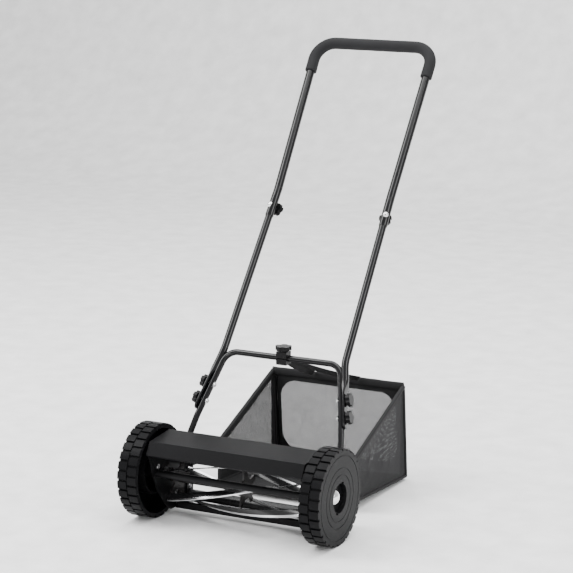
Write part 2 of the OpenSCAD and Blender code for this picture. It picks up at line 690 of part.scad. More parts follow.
// Drawn with its outer face at zero and its depth along +Z, then laid on the axle.
module wheel_body() {
    split = 2.5;
    difference() {
        union() {
            linear_extrude(row_split - split / 2) lug_row(0);
            translate([0, 0, row_split - split / 2]) linear_extrude(split)
                difference() {
                    circle(r = lug_base + 1, $fn = 120);
                    circle(r = rim_in, $fn = 120);
                }
            translate([0, 0, row_split + split / 2]) linear_extrude(wheel_w - row_split - split / 2)
                lug_row(180 / lug_n);
            cylinder(r = rim_in + 0.5, h = web_t, $fn = 120);
            cylinder(d = recess_d + 14, h = recess_depth + 4);
            cylinder(d = boss_d, h = wheel_w - (hub_in - wheel_in));
            translate([0, 0, web_t - 0.5]) linear_extrude(ring_back - web_t + 0.5)
                difference() {
                    circle(r = ring_wall, $fn = 96);
                    circle(r = ring_wall - 3, $fn = 96);
                }
            translate([0, 0, ring_back]) linear_extrude(gear_w)
                difference() {
                    circle(r = ring_wall, $fn = 96);
                    ring_space();
                }
        }
        translate([0, 0, -1]) cylinder(d = axle_d + 2 * run_fit, h = wheel_w + 2);
        translate([0, 0, -1]) linear_extrude(recess_depth + 1) {
            circle(d = recess_d);
            rotate(67) square([recess_d + 7, notch_w], center = true);
        }
        for (k = face_groove) translate([0, 0, -1]) difference() {
            cylinder(r = k * wheel_d / 2 + 0.8, h = 2, $fn = 96);
            translate([0, 0, -1]) cylinder(r = k * wheel_d / 2 - 0.8, h = 4, $fn = 96);
        }
    }
}
// The wheel's depth axis points inwards; its drawing plane is kept as [y, z].
module wheel(s) {
    color([0.16, 0.16, 0.165]) sided(s) translate([wheel_out, 0, axle_z])
        mirror([1, 0, 0]) rotate([90, 0, 90]) wheel_body();
}

// ---- Reel ----

shaft_tip = pinion_x + gear_w + 3.5;
slot_w = 3;
pawl_l = 15.6;
pawl_h = 6;
pawl_x = collar_x + 1.4;
pawl_play = 0.12;
clip_t = 1;
module reel_shaft() {
    color([0.5, 0.5, 0.52]) difference() {
        union() {
            rod_x(-plate_in + 2.5, plate_in - 2.5, [reel_y, reel_z], shaft_d);
            rod_x(-shaft_tip, shaft_tip, [reel_y, reel_z], journal_d);
        }
        for (s = [-1, 1]) sided(s) {
            translate([pawl_x - pawl_play, reel_y - 10, reel_z - slot_w / 2 - pawl_play])
                cube([pawl_h + 2 * pawl_play, 20, slot_w + 2 * pawl_play]);
            difference() {
                rod_x(pinion_x + gear_w + 0.5, pinion_x + gear_w + 0.7 + clip_t, [reel_y, reel_z], journal_d + 2);
                rod_x(pinion_x, shaft_tip, [reel_y, reel_z], journal_d - 1.6);
            }
        }
    }
}
// Cutting edge leads; the strip trails behind it, set in from the tip circle.
blade_in = reel_r - 13;
blade_lag = acos((reel_r * reel_r + blade_in * blade_in - blade_w * blade_w) / (2 * reel_r * blade_in));
blade_a = polar(reel_r, 0);
blade_b = polar(blade_in, -blade_lag);
blade_n_out = let (d = unit(blade_b - blade_a)) [-d[1], d[0]];
blade_side = blade_n_out[1] < 0 ? blade_n_out : -blade_n_out;
blade_a2 = polar(reel_r - 0.02, -blade_t / reel_r * 180 / PI);
blade_b2 = blade_b + blade_side * blade_t;
function blade_angle(x) = blade_phase - blade_rate * x;
module reel_blade(k) {
    color([0.62, 0.62, 0.64]) translate([-reel_len / 2, reel_y, reel_z]) rotate([90, 0, 90])
        rotate(blade_angle(-reel_len / 2) + k * 360 / blade_n)
            linear_extrude(reel_len, twist = blade_twist, slices = blade_slices, $fn = 4)
                polygon([blade_a, blade_b, blade_b2, blade_a2]);
}
spider_t = 4;
spider_off = reel_len / 2 - 9;
arm_gap = 0.75;
module spider(x) {
    arm_end = blade_in - arm_gap;
    mid_a = -blade_lag - 2;
    color([0.15, 0.13, 0.13]) translate([x - spider_t / 2, reel_y, reel_z]) rotate([90, 0, 90])
        linear_extrude(spider_t) difference() {
            union() {
                circle(d = shaft_d + 32);
                for (k = [0:blade_n - 1]) rotate(blade_angle(x) + k * 360 / blade_n)
                    polygon([polar(12, mid_a - 60), polar(arm_end, mid_a - 7), polar(arm_end, mid_a + 9),
                             polar(12, mid_a + 60)]);
            }
            circle(d = shaft_d + 2 * touch);
        }
}

// Pinion: teeth outside, and beside them a collar with the ratchet pockets.
collar_d = 25;
cavity_r = pawl_l / 2 + 0.3;
pocket_r = pawl_l / 2 + 2.3;
pocket_n = 6;
module pinion(s) {
    color([0.45, 0.45, 0.47]) sided(s) translate([0, reel_y, reel_z]) rotate([90, 0, 90]) {
        translate([0, 0, pinion_x]) linear_extrude(gear_w) difference() {
            pinion_teeth_2d();
            circle(d = journal_d + 2 * run_fit);
        }
        translate([0, 0, pinion_x - 0.7]) linear_extrude(0.8) difference() {
            circle(r = pinion_root);
            circle(d = journal_d + 2 * run_fit);
        }
        translate([0, 0, pinion_x - 1.7]) linear_extrude(1) difference() {
            circle(d = collar_d);
            circle(d = journal_d + 2 * run_fit);
        }
        translate([0, 0, collar_x]) linear_extrude(collar_len - 1.7) difference() {
            circle(d = collar_d);
            circle(r = cavity_r);
            for (i = [0:pocket_n - 1]) rotate(i * 360 / pocket_n)
                translate([0, -slot_w / 2 - 0.5]) square([pocket_r, slot_w + 1]);
        }
    }
}
// Sliding key in the shaft's slot; the driving side rests with its end in a pocket.
module pawl(s, shift) {
    color([0.6, 0.6, 0.62]) sided(s) translate([pawl_x, reel_y - pawl_l / 2 + shift, reel_z - slot_w / 2])
        cube([pawl_h, pawl_l, slot_w]);
}
module pinion_clips() {
    color([0.3, 0.3, 0.32]) for (s = [-1, 1]) sided(s)
        translate([pinion_x + gear_w + 0.6, reel_y, reel_z]) rotate([0, 90, 0]) difference() {
            cylinder(d = journal_d + 4, h = clip_t);
            translate([0, 0, -1]) cylinder(d = journal_d - 1.4, h = clip_t + 2);
            translate([0, -2.5, -1]) cube([20, 5, clip_t + 2]);
        }
}

// ---- Rear roller ----

bracket_t = 3;
bracket_in = plate_in - touch - bracket_t;
roller_end = bracket_in - 1.5;
roller_axle_d = 8;
roller_bore = roller_axle_d + 2 * run_fit;
module roller() {
    color([0.09, 0.09, 0.095]) difference() {
        rod_x(-roller_end, roller_end, [roller_y, roller_d / 2], roller_d);
        rod_x(-roller_end + 12, roller_end - 12, [roller_y, roller_d / 2], roller_d - 7);
        rod_x(-cut_w, cut_w, [roller_y, roller_d / 2], roller_bore);
    }
}
module roller_axle() {
    color([0.6, 0.6, 0.62]) {
        rod_x(-bracket_in - bracket_t, bracket_in + bracket_t, [roller_y, roller_d / 2], roller_axle_d);
    }
}
bracket_w = 26;
module roller_bracket(s) {
    low = roller_d / 2;
    high = height_bolt_at[1][1] + 11;
    color([0.12, 0.12, 0.125]) sided(s) difference() {
        along_x(bracket_in, bracket_in + bracket_t) polygon(rounded(
            [[roller_y - bracket_w / 2, low - 11], [roller_y + bracket_w / 2, low - 11],
             [roller_y + bracket_w / 2, high + height_travel], [roller_y - bracket_w / 2, high + height_travel]],
            [9, 9, 5, 5]));
        rod_x(0, cut_w, [roller_y, low], roller_axle_d + 2 * hole_fit);
        along_x(0, cut_w) polygon(slot_outline(height_bolt_at[0], height_bolt_at[1] + [0, height_travel],
                                               bolt_d / 2 + 0.2));
    }
}
function slot_outline(a, b, r) =
    concat([for (t = [180:15:360]) a + polar(r, t)], [for (t = [0:15:180]) b + polar(r, t)]);
module height_bolts() {
    color([0.7, 0.7, 0.72]) for (s = [-1, 1], p = height_bolt_at) sided(s) {
        translate([bracket_in - touch, p[0], p[1]]) rotate([0, 90, 0])
            dome_bolt(bolt_d, bracket_t + plate_t + 3, 12, 3);
        translate([plate_out + touch, p[0], p[1]]) rotate([0, 90, 0]) hex_nut(10, 4, bolt_d);
    }
}

// ---- Grass catcher ----

side_x = catcher_w / 2;
wire_r = wire_d / 2;
stud_d = 8;
stud_x = plate_in - 7;
stud_l = 12;
hook_r = stud_d / 2 + 0.4 + wire_r;
rail_front = [side_x, catcher_front, catcher_z - (catcher_y - catcher_front) * 0.41];
rail_rear = [side_x, catcher_y, catcher_z];
floor_front = [side_x, catcher_front - 4, 24];
floor_rear = [side_x, catcher_y + 22, 9];
module catcher_studs() {
    color([0.6, 0.6, 0.62]) for (s = [-1, 1]) sided(s) {
        rod_x(plate_in - stud_l, plate_in - touch, stud_at, stud_d);
        rod_x(plate_in - touch - 0.5, plate_out + 2, stud_at, bolt_d);
        rod_x(plate_in - stud_l - 1.5, plate_in - stud_l, stud_at, stud_d + 5);
    }
}
// Wire frame: one wire runs from hook to hook along the rails and the rear bar, another from
// rail to rail round the floor, and two uprights join them at the rear.
wire_sides = 12;
rail_bend = 10;
stud_point = [stud_x, stud_at[0], stud_at[1]];
hook_tip = stud_point + [0, 2, -hook_r];
hook_front = stud_point + [0, -hook_r - 0.1, -hook_r];
hook_top = stud_point + [0, -hook_r - 0.1, hook_r];
arm_knee = stud_point + [0, 26, hook_r];
half_wire = [hook_tip, hook_front, hook_top, arm_knee, rail_front, rail_rear];
half_floor = [rail_front + [0, 2, 0], floor_front + [0, 2, 0], floor_rear];
module catcher_frame() {
    bend = [0, hook_r - 0.5, hook_r - 0.5, 14, 40, rail_bend];
    low_bend = [0, 14, rail_bend];
    color([0.07, 0.07, 0.075]) {
        tube_path(concat(half_wire, [for (i = [5:-1:0]) flip(half_wire[i], -1)]),
                  concat(bend, [for (i = [5:-1:0]) bend[i]]), wire_d, 0, wire_sides);
        tube_path(concat(half_floor, [for (i = [2:-1:0]) flip(half_floor[i], -1)]),
                  concat(low_bend, [for (i = [2:-1:0]) low_bend[i]]), wire_d, 0, wire_sides);
        for (s = [-1, 1]) sided(s)
            tube_path([floor_rear + [-rail_bend, 0, 0], rail_rear + [-rail_bend, 0, 0]], [0, 0],
                      wire_d, 0, wire_sides);
    }
}

// Cloth panels, each lying just inside the wires.
panel_gap = wire_r + 0.4;
panel_x = side_x - panel_gap - cloth_t;
function inset(p, sy, sz) = [p[1] + sy * panel_gap, p[2] + sz * panel_gap];
module catcher_side(s) {
    color([0.3, 0.3, 0.31]) sided(s) along_x(panel_x, panel_x + cloth_t)
        polygon([inset(rail_front, 1, -1.6), inset(floor_front, 1, 1.2), inset(floor_rear, -1, 1),
                 inset(rail_rear, -1, -1.5)]);
}
// Flat panel between two corner points, with a normal offset into the catcher.
module panel_between(low, high, into, trim_low, trim_high) {
    way = unit([0, high[1] - low[1], high[2] - low[2]]);
    span = norm([0, high[1] - low[1], high[2] - low[2]]);
    place([0, low[1], low[2]] + way * trim_low + into * panel_gap, way, [1, 0, 0])
        translate([-panel_x + 0.4, -cloth_t / 2, 0])
            cube([2 * panel_x - 0.8, cloth_t, span - trim_low - trim_high]);
}
module catcher_back() {
    color([0.3, 0.3, 0.31])
        panel_between(floor_rear, rail_rear, [0, -1.4, 0], panel_gap, panel_gap);
}
module catcher_floor() {
    color([0.08, 0.08, 0.085])
        panel_between(floor_front, floor_rear, [0, 0, 1.4], panel_gap, 3 * panel_gap);
}
// Webbing strap from the hook on the loop down to the catcher's rear bar.
strap_w = 14;
strap_t = 1.5;
strap_top = bar_at + [tongue_w / 2 + 5, saddle_depth / 2 + 4, -hook_low + 4];
strap_end = [58, catcher_y - 8, catcher_z + 6];
module strap_edge(at, w) {
    translate(at - [w / 2, 0, 0]) cube([w, 4, strap_t]);
}
module catcher_strap() {
    color([0.05, 0.05, 0.055]) {
        for (s = [-1, 1]) sided(s) hull() {
            strap_edge(strap_top, 8);
            strap_edge(strap_end, strap_w);
        }
        strap_edge([0, strap_top[1], strap_top[2]], 2 * strap_top[0]);
    }
}

side_plate(1);  // side_plate_left
side_plate(-1);  // side_plate_right
tie_tube();
tie_tube_bolts();
cover_plate();
cover_screws();
axle(1);  // axle_left
axle(-1);  // axle_right
axle_nuts();
axle_caps();
reel_bushes();
bed_bar();
bed_knife();
bed_bolts();
frame_loop();
loop_bolts();
handle_lower(1);  // handle_lower_left
handle_lower(-1);  // handle_lower_right
handle_upper();
foam_grip();
joint_bolts();
handle_bolts();
saddle();
strap_hook();
hook_bolt();
catcher_studs();
joint_knob(1);  // joint_knob_left
joint_knob(-1);  // joint_knob_right
handle_knob(1, 1);  // handle_knob_left_top
handle_knob(1, 0);  // handle_knob_left_low
handle_knob(-1, 1);  // handle_knob_right_top
handle_knob(-1, 0);  // handle_knob_right_low
hook_knob();
wheel(1);  // wheel_left
wheel(-1);  // wheel_right
reel_shaft();
spider(spider_off);  // spider_left
spider(0);  // spider_centre
spider(-spider_off);  // spider_right
reel_blade(0);  // reel_blade_1
reel_blade(1);  // reel_blade_2
reel_blade(2);  // reel_blade_3
reel_blade(3);  // reel_blade_4
reel_blade(4);  // reel_blade_5
pinion(1);  // pinion_left
pinion(-1);  // pinion_right
pawl(1, 2);  // pawl_left
pawl(-1, 0);  // pawl_right
pinion_clips();
roller();
roller_axle();
roller_bracket(1);  // roller_bracket_left
roller_bracket(-1);  // roller_bracket_right
height_bolts();
catcher_frame();
catcher_back();
catcher_side(1);  // catcher_side_left
catcher_side(-1);  // catcher_side_right
catcher_floor();
catcher_strap();
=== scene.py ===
"""Looks of a hand-pushed reel mower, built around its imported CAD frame.

Each operator builds one piece or one group of pieces; the panel in the 3D view's sidebar lists them
in the order they run. Lengths are in metres, +Z is up, and the mower is pushed towards -Y.
"""

import json
import math

import bpy
from bpy.props import FloatProperty, FloatVectorProperty, IntProperty, PointerProperty
from mathutils import Matrix, Quaternion, Vector, noise


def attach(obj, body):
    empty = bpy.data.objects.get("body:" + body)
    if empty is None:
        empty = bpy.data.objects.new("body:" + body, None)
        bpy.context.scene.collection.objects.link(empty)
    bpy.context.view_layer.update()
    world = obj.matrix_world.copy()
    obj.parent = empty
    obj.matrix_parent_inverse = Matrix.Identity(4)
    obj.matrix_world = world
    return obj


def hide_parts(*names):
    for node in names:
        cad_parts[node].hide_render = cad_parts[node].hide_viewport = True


bl_info = {
    "name": "Reel Mower",
    "version": (1, 0, 0),
    "blender": (4, 5, 0),
    "location": "View3D > Sidebar > Mower",
    "description": "Builds the tubes, blades, cloth and finishes of a reel mower",
    "category": "Object",
}

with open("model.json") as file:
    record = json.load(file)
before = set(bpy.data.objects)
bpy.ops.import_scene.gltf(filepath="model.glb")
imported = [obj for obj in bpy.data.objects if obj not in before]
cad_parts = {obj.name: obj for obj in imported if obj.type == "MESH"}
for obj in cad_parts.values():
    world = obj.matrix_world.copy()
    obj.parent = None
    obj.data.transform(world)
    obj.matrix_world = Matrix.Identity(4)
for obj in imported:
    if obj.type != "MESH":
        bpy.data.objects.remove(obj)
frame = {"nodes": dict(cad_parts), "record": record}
MIRROR = Matrix.Scale(-1, 4, (1, 0, 0))
# Set before each material's name, because the CAD import has materials with the slots' own names.
FINISH = "finish_"
SIDE = Vector((1, 0, 0))
UP = Vector((0, 0, 1))
# Points in one ring of a metal tube and of the foam grip.
RING = 40
GRIP_RING = 48
# The reel's axis, as [y, z], the first blade's angle, and how far the blades are ground from their edges.
REEL_AXIS = Vector((0.0314554, 0.0819747))
BLADE_START = math.radians(-180.5)
GROUND_EDGE = 0.0032


# ---------------------------------------------------------------- settings


class MowerSizes(bpy.types.PropertyGroup):
    """Sizes of the pieces that stand for CAD nodes."""

    loop_d: FloatProperty(name="Loop tube", description="Diameter of the frame loop's tube",
                          default=0.014, unit="LENGTH")
    lower_d: FloatProperty(name="Lower tube", description="Diameter of the lower handle tubes",
                           default=0.017, unit="LENGTH")
    upper_d: FloatProperty(name="Upper tube", description="Diameter of the upper handle tube",
                           default=0.0192, unit="LENGTH")
    grip_d: FloatProperty(name="Grip", description="Outer diameter of the foam grip",
                          default=0.0275, unit="LENGTH")
    grip_leg: FloatProperty(name="Grip leg", description="How far the foam reaches down each leg",
                            default=0.078, unit="LENGTH")
    reel_d: FloatProperty(name="Reel", description="Diameter of the circle of the cutting edges",
                          default=0.114, unit="LENGTH")
    reel_len: FloatProperty(name="Reel length", description="Length of the blades",
                            default=0.344, unit="LENGTH")
    blade_w: FloatProperty(name="Blade width", description="Width of a blade strip",
                           default=0.017, unit="LENGTH")
    blade_t: FloatProperty(name="Blade thickness", description="Thickness of a blade strip",
                           default=0.0025, unit="LENGTH")
    twist: FloatProperty(name="Twist", description="Turn of a blade over its length",
                         default=math.radians(98), subtype="ANGLE")
    blades: IntProperty(name="Blades", description="Number of blades on the reel, one for each CAD blade",
                        default=5, min=1, max=5)


class MowerCloth(bpy.types.PropertyGroup):
    """Shape of the grass catcher's fabric."""

    band_front: FloatProperty(name="Band at front", description="Height of the solid band at the front edge",
                              default=0.098, unit="LENGTH")
    band_rear: FloatProperty(name="Band at rear", description="Height of the solid band at the rear edge",
                             default=0.016, unit="LENGTH")
    crease: FloatProperty(name="Crease", description="Depth of the creases in the panels",
                          default=0.0022, unit="LENGTH")
    weave: FloatProperty(name="Weave", description="Pitch of the open weave", default=0.0022, unit="LENGTH")
    strap_w: FloatProperty(name="Strap", description="Width of the webbing strap",
                           default=0.013, unit="LENGTH")


class MowerColours(bpy.types.PropertyGroup):
    """Colours of the finishes."""

    paint: FloatVectorProperty(name="Paint", description="Powder coat on plates and tubes",
                               default=(0.0045, 0.0045, 0.005), subtype="COLOR")
    plastic: FloatVectorProperty(name="Plastic", description="Moulded wheels and knobs",
                                 default=(0.0055, 0.0055, 0.006), subtype="COLOR")
    foam: FloatVectorProperty(name="Foam", description="Foam grip", default=(0.010, 0.010, 0.011),
                              subtype="COLOR")
    steel: FloatVectorProperty(name="Steel", description="Bare and plated steel",
                               default=(0.55, 0.55, 0.56), subtype="COLOR")
    cloth: FloatVectorProperty(name="Cloth", description="Catcher cloth", default=(0.0045, 0.0045, 0.005),
                               subtype="COLOR")
    floor: FloatVectorProperty(name="Floor", description="Floor and backdrop", default=(0.93, 0.93, 0.93),
                               subtype="COLOR")


def sizes():
    """The scene's sizes, as the panel shows them."""
    return bpy.context.scene.mower_sizes


def cloth():
    """The scene's cloth settings."""
    return bpy.context.scene.mower_cloth


def colours():
    """The scene's finish colours."""
    return bpy.context.scene.mower_colours


# ---------------------------------------------------------------- materials


def shader(name, colour, rough, metal=0.0, specular=0.5):
    """A new material with its shader's constants set. Returns material, nodes, links, shader."""
    m = bpy.data.materials.new(FINISH + name)
    m.use_nodes = True
    nodes, links = m.node_tree.nodes, m.node_tree.links
    p = nodes["Principled BSDF"]
    p.inputs["Base Color"].default_value = (*colour, 1)
    p.inputs["Roughness"].default_value = rough
    p.inputs["Metallic"].default_value = metal
    p.inputs["Specular IOR Level"].default_value = specular
    return m, nodes, links, p


def shade(colour, factor):
    """The colour made darker or lighter, with full alpha."""
    return (*[min(1, c * factor) for c in colour], 1)


def tint(nodes, links, factor, dark, light, p):
    """Feeds the base colour with a mix of two colours."""
    tone = nodes.new("ShaderNodeMix")
    tone.data_type = "RGBA"
    colour_in = [i for i in tone.inputs if i.type == "RGBA"]
    colour_in[0].default_value = dark
    colour_in[1].default_value = light
    links.new(factor, tone.inputs[0])
    links.new(next(o for o in tone.outputs if o.type == "RGBA"), p.inputs["Base Color"])


def noise_of(nodes, links, vector, scale, detail):
    """A noise texture's value."""
    n = nodes.new("ShaderNodeTexNoise")
    n.inputs["Scale"].default_value = scale
    n.inputs["Detail"].default_value = detail
    links.new(vector, n.inputs["Vector"])
    return n.outputs["Fac"]


def vary_rough(nodes, links, factor, low, high, p):
    """Feeds the roughness with a value between two limits."""
    limits = nodes.new("ShaderNodeMapRange")
    limits.inputs["To Min"].default_value = low
    limits.inputs["To Max"].default_value = high
    links.new(factor, limits.inputs["Value"])
    links.new(limits.outputs["Result"], p.inputs["Roughness"])


def add_bump(nodes, links, height, strength, distance, p):
    """Feeds the normal with a bump from a height."""
    lift = nodes.new("ShaderNodeBump")
    lift.inputs["Strength"].default_value = strength
    lift.inputs["Distance"].default_value = distance
    links.new(height, lift.inputs["Height"])
    links.new(lift.outputs["Normal"], p.inputs["Normal"])


def textured(name, colour, rough, grain, bump, spread=0.12, **more):
    """A finish that varies all over: fine grain for bump and roughness, slow clouds for colour."""
    m, nodes, links, p = shader(name, colour, rough, **more)
    where = nodes.new("ShaderNodeTexCoord").outputs["Object"]
    fine = noise_of(nodes, links, where, grain, 6)
    slow = noise_of(nodes, links, where, 14, 4)
    tint(nodes, links, slow, shade(colour, 0.75), shade(colour, 1.35), p)
    vary_rough(nodes, links, fine, max(0.02, rough - spread), min(1, rough + spread), p)
    add_bump(nodes, links, fine, bump, 0.0004, p)
    return m


def math_node(nodes, links, kind, a, b=None):
    """A math node fed with sockets or plain numbers; returns its output."""
    n = nodes.new("ShaderNodeMath")
    n.operation = kind
    for i, v in enumerate((a, b)):
        if v is None:
            continue
        if isinstance(v, (int, float)):
            n.inputs[i].default_value = v
        else:
            links.new(v, n.inputs[i])
    return n.outputs[0]


def open_weave(name, colour, pitch, hole, pale):
    """Cloth woven so openly that light comes through: threads by position, with clouded tone."""
    m, nodes, links, p = shader(name, colour, 0.75, specular=0.3)
    where = nodes.new("ShaderNodeTexCoord")
    part = nodes.new("ShaderNodeSeparateXYZ")
    links.new(where.outputs["UV"], part.inputs["Vector"])
    waves = []
    for axis in ("X", "Y"):
        turn = math_node(nodes, links, "MULTIPLY", part.outputs[axis], math.pi / pitch)
        waves.append(math_node(nodes, links, "ABSOLUTE", math_node(nodes, links, "SINE", turn)))
    lesser = math_node(nodes, links, "MINIMUM", waves[0], waves[1])
    gap = math_node(nodes, links, "GREATER_THAN", lesser, hole)
    slow = noise_of(nodes, links, where.outputs["Object"], 22, 5)
    tint(nodes, links, slow, shade(colour, 0.8), shade(colour, 1.6), p)
    add_bump(nodes, links, waves[0], 0.4, 0.0004, p)
    clear = nodes.new("ShaderNodeBsdfTransparent")
    clear.inputs["Color"].default_value = (pale, pale, pale, 1)
    both = nodes.new("ShaderNodeMixShader")
    links.new(gap, both.inputs["Fac"])
    links.new(p.outputs["BSDF"], both.inputs[1])
    links.new(clear.outputs["BSDF"], both.inputs[2])
    links.new(both.outputs["Shader"], nodes["Material Output"].inputs["Surface"])
    return m


def woven(name, colour, pitch, rough=0.8):
    """Tight cloth: two crossed sets of threads give the bump, and clouds give the tone."""
    m, nodes, links, p = shader(name, colour, rough, specular=0.35)
    where = nodes.new("ShaderNodeTexCoord")
    sets = []
    for axis in ("X", "Y"):
        wave = nodes.new("ShaderNodeTexWave")
        wave.bands_direction = axis
        wave.inputs["Scale"].default_value = 0.31 / pitch
        links.new(where.outputs["UV"], wave.inputs["Vector"])
        sets.append(wave.outputs["Fac"])
    height = math_node(nodes, links, "MULTIPLY", sets[0], sets[1])
    slow = noise_of(nodes, links, where.outputs["Object"], 18, 6)
    tint(nodes, links, slow, shade(colour, 0.7), shade(colour, 1.7), p)
    add_bump(nodes, links, height, 0.5, 0.0005, p)
    return m


def ground_steel(name, colour, axis_y, axis_z, edge_r):
    """Blade finish: glossy black on the faces, ground to bright steel near the cutting circle."""
    m, nodes, links, p = shader(name, colour, 0.3)
    where = nodes.new("ShaderNodeTexCoord")
    part = nodes.new("ShaderNodeSeparateXYZ")
    links.new(where.outputs["Object"], part.inputs["Vector"])
    dy = math_node(nodes, links, "SUBTRACT", part.outputs["Y"], axis_y)
    dz = math_node(nodes, links, "SUBTRACT", part.outputs["Z"], axis_z)
    square = math_node(nodes, links, "ADD", math_node(nodes, links, "MULTIPLY", dy, dy),
                       math_node(nodes, links, "MULTIPLY", dz, dz))
    near = math_node(nodes, links, "GREATER_THAN", math_node(nodes, links, "SQRT", square), edge_r)
    lines = noise_of(nodes, links, where.outputs["Object"], 900, 4)
    tint(nodes, links, near, (0.006, 0.006, 0.0065, 1), shade(colour, 1.45), p)
    links.new(near, p.inputs["Metallic"])
    vary_rough(nodes, links, lines, 0.14, 0.3, p)
    return m


def finishes():
    """One finish for each slot, and a second one, closer woven, for the catcher's sides."""
    c = colours()
    paint, plastic, steel = tuple(c.paint), tuple(c.plastic), tuple(c.steel)
    ground_r = sizes().reel_d / 2 - GROUND_EDGE
    textured("plate_paint", paint, 0.36, 700, 0.15, specular=0.12)
    textured("cover_paint", paint, 0.4, 900, 0.08, spread=0.05, specular=0.07)
    textured("tube_paint", paint, 0.13, 500, 0.04, spread=0.04, specular=0.3)
    textured("zinc", tuple(x * 0.5 for x in steel), 0.32, 600, 0.1, metal=1.0)
    textured("chrome", (0.85, 0.85, 0.86), 0.1, 300, 0.02, spread=0.04, metal=1.0)
    textured("bush_bronze", (0.32, 0.2, 0.09), 0.4, 800, 0.1, metal=1.0)
    ground_steel("blade_steel", steel, REEL_AXIS.x, REEL_AXIS.y, ground_r)
    textured("reel_paint", (0.008, 0.007, 0.007), 0.3, 600, 0.2, specular=0.4)
    textured("gear_steel", tuple(x * 0.3 for x in steel), 0.35, 700, 0.15, metal=1.0)
    textured("wheel_plastic", plastic, 0.34, 1400, 0.3, specular=0.05)
    textured("knob_plastic", plastic, 0.3, 1200, 0.2, specular=0.12)
    textured("roller_plastic", plastic, 0.3, 300, 0.05, specular=0.35)
    textured("foam", tuple(c.foam), 0.82, 1800, 0.8, specular=0.25)
    open_weave("mesh_cloth", (0.03, 0.03, 0.032), cloth().weave, 0.83, 0.97)
    open_weave("mesh_side", (0.010, 0.010, 0.011), cloth().weave, 0.9, 0.85)
    woven("floor_cloth", tuple(c.cloth), 0.0012)
    woven("webbing", tuple(x * 0.7 for x in c.cloth), 0.0016, 0.7)


# ---------------------------------------------------------------- mesh helpers


def piece(name, verts, faces, material, node, slot_name, uvs=None, stands_for=None):
    """A mesh that rides on a CAD node's body, and stands for the nodes that are named."""
    mesh = bpy.data.meshes.new(name)
    mesh.from_pydata([tuple(v) for v in verts], [], faces)
    mesh.validate()
    if uvs:
        layer = mesh.uv_layers.new(name="UVMap")
        for poly in mesh.polygons:
            for loop in poly.loop_indices:
                layer.data[loop].uv = uvs[mesh.loops[loop].vertex_index]
    obj = bpy.data.objects.new(name, mesh)
    bpy.context.collection.objects.link(obj)
    mesh.materials.append(bpy.data.materials[FINISH + material])
    mesh.polygons.foreach_set("use_smooth", [True] * len(mesh.polygons))
    mesh.set_sharp_from_angle(angle=math.radians(40))
    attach(obj, node_body(node))
    if stands_for:
        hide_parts(*stands_for)
    return obj


def node_body(node):
    """Name of the body that holds a CAD node."""
    for name, members in frame["record"]["behaviour"]["bodies"].items():
        if node in members:
            return name
    raise RuntimeError(f"no body holds {node}")


def turned(v, axis, angle):
    """The vector turned about an axis."""
    return Quaternion(axis, angle) @ v


def corner_stations(a, b, c, radius, step=math.radians(5)):
    """Centres and headings along the arc that rounds the corner at b."""
    u, v = (a - b).normalized(), (c - b).normalized()
    open_angle = u.angle(v)
    turn = math.pi - open_angle
    centre = b + (u + v).normalized() * radius / math.sin(open_angle / 2)
    axis = (-u).cross(v).normalized()
    start = b + u * radius / math.tan(open_angle / 2) - centre
    steps = max(3, math.ceil(turn / step))
    return [(centre + turned(start, axis, turn * k / steps), turned(-u, axis, turn * k / steps))
            for k in range(steps + 1)]


def path_stations(points, radii):
    """Centres and headings along a path with rounded corners."""
    out = [(points[0], (points[1] - points[0]).normalized())]
    for i in range(1, len(points) - 1):
        out += corner_stations(points[i - 1], points[i], points[i + 1], radii[i])
    out.append((points[-1], (points[-1] - points[-2]).normalized()))
    return out


def section(n, a, b, power):
    """Points of a superellipse: power 2 is round, a high power is nearly a rectangle."""
    pts = []
    for k in range(n):
        c, s = math.cos(2 * math.pi * k / n), math.sin(2 * math.pi * k / n)
        pts.append((a * math.copysign(abs(c) ** (2 / power), c),
                    b * math.copysign(abs(s) ** (2 / power), s)))
    return pts


def loft(stations, side, n=RING, both_ends=True):
    """Skins stations of (centre, heading, half size along side, half size across, power).

    The start is always closed; the end stays open where the mirrored half meets it.
    """
    verts, faces = [], []
    u = side - side.dot(stations[0][1]) * stations[0][1]
    u.normalize()
    last = stations[0][1]
    for centre, heading, a, b, power in stations:
        turn = last.cross(heading)
        if turn.length > 1e-7:
            u = turned(u, turn.normalized(), last.angle(heading))
        last = heading
        v = heading.cross(u)
        verts += [centre + u * x + v * y for x, y in section(n, a, b, power)]
    rows = len(stations)
    for i in range(rows - 1):
        for k in range(n):
            j = (k + 1) % n
            faces.append((i * n + k, i * n + j, (i + 1) * n + j, (i + 1) * n + k))
    faces.append(tuple(range(n - 1, -1, -1)))
    if both_ends:
        faces.append(tuple((rows - 1) * n + k for k in range(n)))
    return verts, faces


def mirrored(verts, faces):
    """The mesh on the other side of the middle plane."""
    return [MIRROR @ v for v in verts], [tuple(reversed(f)) for f in faces]


def both_sides(verts, faces):
    """The mesh together with its mirror image."""
    other, flipped = mirrored(verts, faces)
    base = len(verts)
    return verts + other, faces + [tuple(i + base for i in f) for f in flipped]


def round_stations(points, radii, r):
    """Stations of a round tube along a path."""
    return [(c, t, r, r, 2) for c, t in path_stations(points, radii)]


def lipped(stations, depth):
    """Adds a small turned-in lip to the start of a tube's stations."""
    c, t, a, b, power = stations[0]
    part = depth * 0.3
    lip = [(c, t, a - depth, b - depth, power), (c + t * part, t, a - part, b - part, power),
           (c + t * depth, t, a, b, power)]
    return lip + stations[1:]


